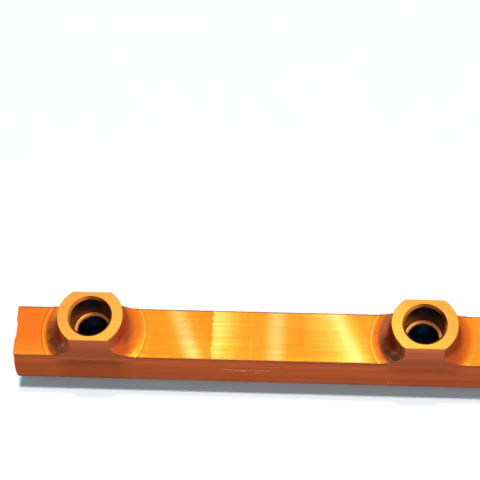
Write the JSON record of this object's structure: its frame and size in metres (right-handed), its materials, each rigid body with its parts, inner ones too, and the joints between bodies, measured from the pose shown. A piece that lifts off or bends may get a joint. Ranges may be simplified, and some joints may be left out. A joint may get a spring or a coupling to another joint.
{
  "type": "fuel rail",
  "caption": "Bare machined fuel rail: round extruded body with a flat back, a milled floor, round injector bosses with open cups, and threaded ports in the ends and the back.",
  "frame": {"origin": "middle of the back flat, under the middle of the rail's length", "axes": "+X along the rail, from the end nearer the back port to the other; +Z out of the injector cups; +Y across the rail"},
  "size_m": [0.1676, 0.024, 0.0327],
  "materials": {
    "anodised_aluminium": "orange-gold anodised, as milled on the floor and bosses, as extruded on the body"
  },
  "bodies": {
    "root": {"rail_body": "anodised_aluminium"}
  },
  "joints": []
}
